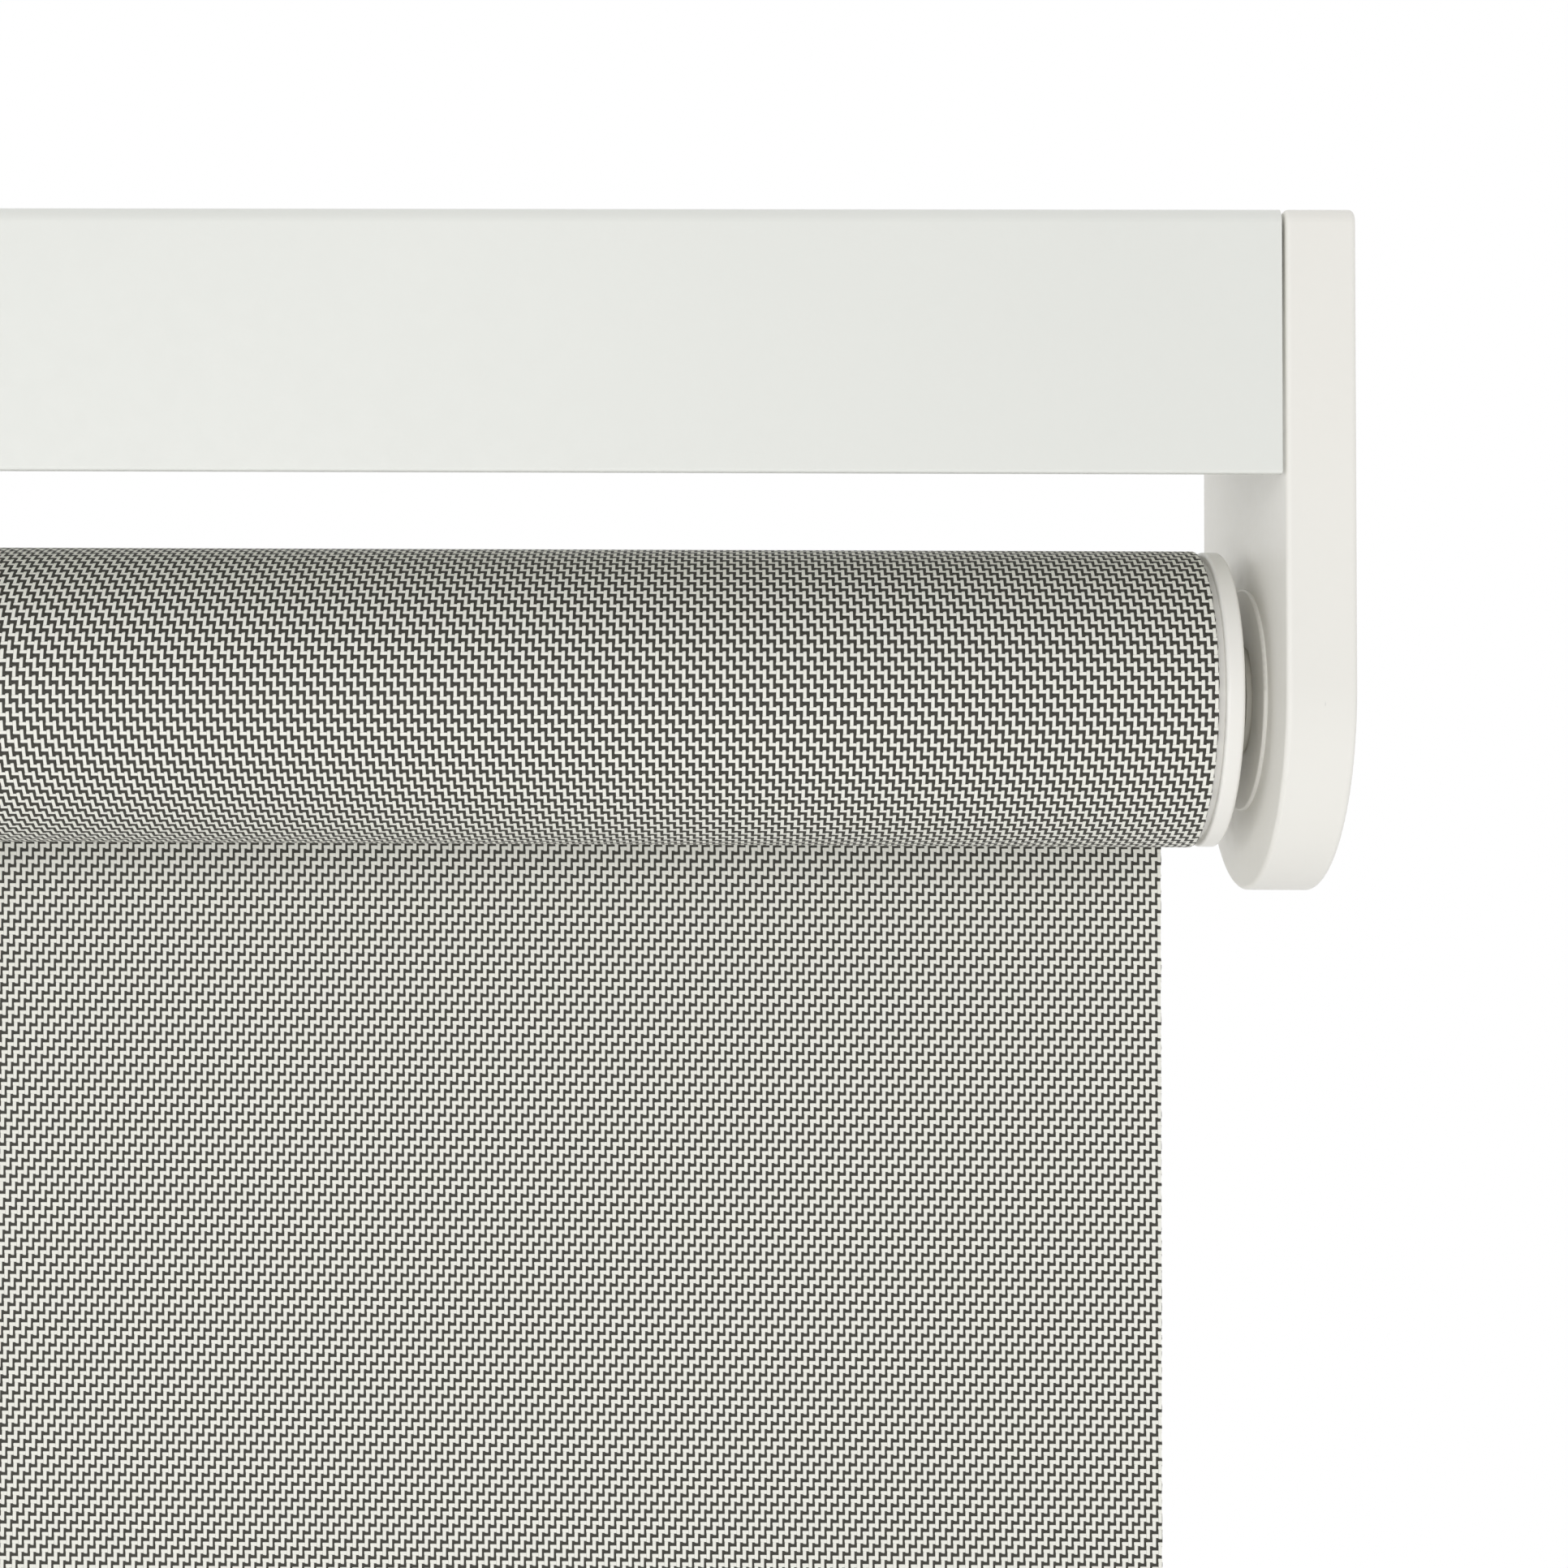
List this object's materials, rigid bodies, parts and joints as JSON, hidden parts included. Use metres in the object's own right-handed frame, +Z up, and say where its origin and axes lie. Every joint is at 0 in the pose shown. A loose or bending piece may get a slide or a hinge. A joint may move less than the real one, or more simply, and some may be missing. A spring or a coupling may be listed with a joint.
{
  "type": "roller blind",
  "caption": "Cordless roller blind with an open white headrail, D-shaped end brackets, woven screen cloth on a sprung tube, and a weighted bottom rail with a pull handle.",
  "frame": {"origin": "centre of the four ceiling screws, on the ceiling face of the mounting clips", "axes": "+X runs along the blind to the right as seen from the room, +Y points at the wall or glass, +Z is up, out of the ceiling face"},
  "size_m": [0.6, 0.064, 0.7227],
  "materials": {
    "headrail_paint": "satin white powder coat",
    "bracket_white": "fine satin moulded white",
    "plug_white": "smooth moulded white",
    "bush_plastic": "natural acetal",
    "zinc_steel": "zinc-plated",
    "spring_steel": "drawn spring wire",
    "mill_aluminium": "mill finish",
    "screen_cloth": "coated screen yarn, white and charcoal stepped weave",
    "latch_plastic": "grey moulded",
    "rail_paint": "satin white powder coat",
    "handle_white": "glossy moulded white"
  },
  "bodies": {
    "frame": {"headrail": "headrail_paint", "end_bracket_right": "bracket_white", "end_bracket_left": "bracket_white", "bracket_cover_right": "bracket_white", "bracket_cover_left": "bracket_white", "bracket_plate_right": "zinc_steel", "bracket_plate_left": "zinc_steel", "bracket_screws": "zinc_steel", "idler_bush": "bush_plastic", "axle_socket": "bush_plastic", "mounting_clip_right": "zinc_steel", "mounting_clip_left": "zinc_steel", "latch_spring_right": "spring_steel", "latch_spring_left": "spring_steel", "spring_axle": "zinc_steel", "brake_drum": "bush_plastic", "torsion_spring": "spring_steel", "spring_fixed_hub": "bush_plastic", "fabric_panel": "screen_cloth"},
    "roller": {"roller_tube": "mill_aluminium", "cloth_spline": "plug_white", "fabric_roll": "screen_cloth", "idler_plug": "plug_white", "idler_pin_seat": "bush_plastic", "idler_pin_spring": "spring_steel", "drive_plug": "plug_white", "drive_bush": "bush_plastic", "brake_spring": "spring_steel", "spring_drive_hub": "bush_plastic"},
    "bottom_bar": {"bottom_rail": "rail_paint", "hem_spline": "plug_white", "rail_end_cap_right": "plug_white", "rail_end_cap_left": "plug_white", "weight_bar": "zinc_steel", "pull_handle": "handle_white"},
    "idler_pin": {"idler_pin": "zinc_steel"},
    "latch_right": {"clip_latch_right": "latch_plastic"},
    "latch_left": {"clip_latch_left": "latch_plastic"}
  },
  "joints": [
    {"name": "roller_turn", "type": "hinge", "parent": "frame", "child": "roller", "pos_m": [0, 0, -0.0755], "axis": [1, 0, 0], "range_deg": [0, 1283]},
    {"name": "bottom_bar_lift", "type": "slide", "parent": "frame", "child": "bottom_bar", "axis": [0, 0, 1], "range_m": [0, 0.56], "deforming": ["fabric_panel"]},
    {"name": "idler_pin_press", "type": "slide", "parent": "roller", "child": "idler_pin", "axis": [-1, 0, 0], "range_m": [0, 0.0065], "stiffness_N_per_m": 700, "springref_m": -0.004, "deforming": ["idler_pin_spring"]},
    {"name": "latch_right_press", "type": "slide", "parent": "frame", "child": "latch_right", "axis": [0, -1, 0], "range_m": [0, 0.0035], "stiffness_N_per_m": 500, "springref_m": -0.003, "deforming": ["latch_spring_right"]},
    {"name": "latch_left_press", "type": "slide", "parent": "frame", "child": "latch_left", "axis": [0, -1, 0], "range_m": [0, 0.0035], "stiffness_N_per_m": 500, "springref_m": -0.003, "deforming": ["latch_spring_left"]}
  ],
  "couplings": [
    {"joint": "bottom_bar_lift", "follows": "roller_turn", "m_per_rad": 0.025}
  ]
}
